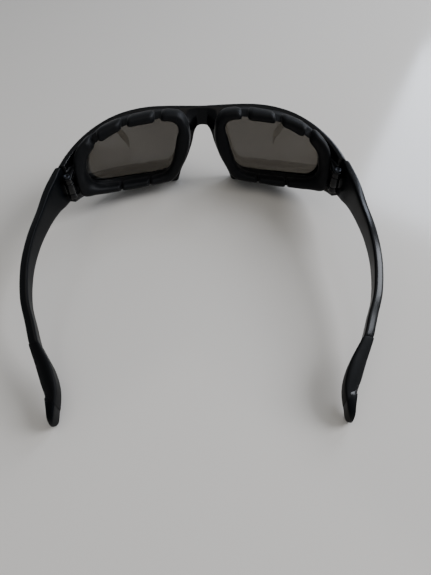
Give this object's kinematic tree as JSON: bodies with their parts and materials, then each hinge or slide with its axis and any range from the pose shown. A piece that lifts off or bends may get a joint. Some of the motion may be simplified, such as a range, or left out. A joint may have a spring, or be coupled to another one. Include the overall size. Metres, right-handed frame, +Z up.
{
  "type": "sports goggles",
  "caption": "Foam-padded wrap-around sports goggles with smoke lenses, a one-piece front, segmented face pads and folding temples with rubber ear sleeves.",
  "frame": {"origin": "middle of the bounding box's base, on the surface that the goggles stand on, midway between the lenses and the temple tips", "axes": "+X to the wearer's left, +Y from the brow back to the ears (the longest extent), +Z up (the shortest extent)"},
  "size_m": [0.1502, 0.1567, 0.0425],
  "materials": {
    "frame_plastic": "satin gloss black injection moulding",
    "smoke_lens": "polished smoke polycarbonate, see-through",
    "foam": "matte closed-cell foam with a soft skin",
    "temple_plastic": "glossy black outside, satin inside",
    "sleeve_rubber": "matte soft rubber",
    "screw_steel": "small steel screw"
  },
  "bodies": {
    "front": {"front_frame": "frame_plastic", "lens_left": "smoke_lens", "lens_right": "smoke_lens", "gasket_ring_left": "foam", "gasket_ring_right": "foam", "nose_pad_left": "foam", "nose_pad_right": "foam", "inner_brow_pad_left": "foam", "inner_brow_pad_right": "foam", "outer_brow_pad_left": "foam", "outer_brow_pad_right": "foam", "temple_pad_left": "foam", "temple_pad_right": "foam", "cheek_pad_left": "foam", "cheek_pad_right": "foam", "hinge_screw_left": "screw_steel", "hinge_screw_right": "screw_steel"},
    "left_arm": {"temple_left": "temple_plastic", "ear_sleeve_left": "sleeve_rubber"},
    "right_arm": {"temple_right": "temple_plastic", "ear_sleeve_right": "sleeve_rubber"}
  },
  "joints": [
    {"name": "left_temple_fold", "type": "hinge", "parent": "front", "child": "left_arm", "pos_m": [0.0642, -0.032, 0.0239], "axis": [0, 0, 1], "range_deg": [0, 90]},
    {"name": "right_temple_fold", "type": "hinge", "parent": "front", "child": "right_arm", "pos_m": [-0.0642, -0.032, 0.0239], "axis": [0, 0, -1], "range_deg": [0, 78]}
  ]
}
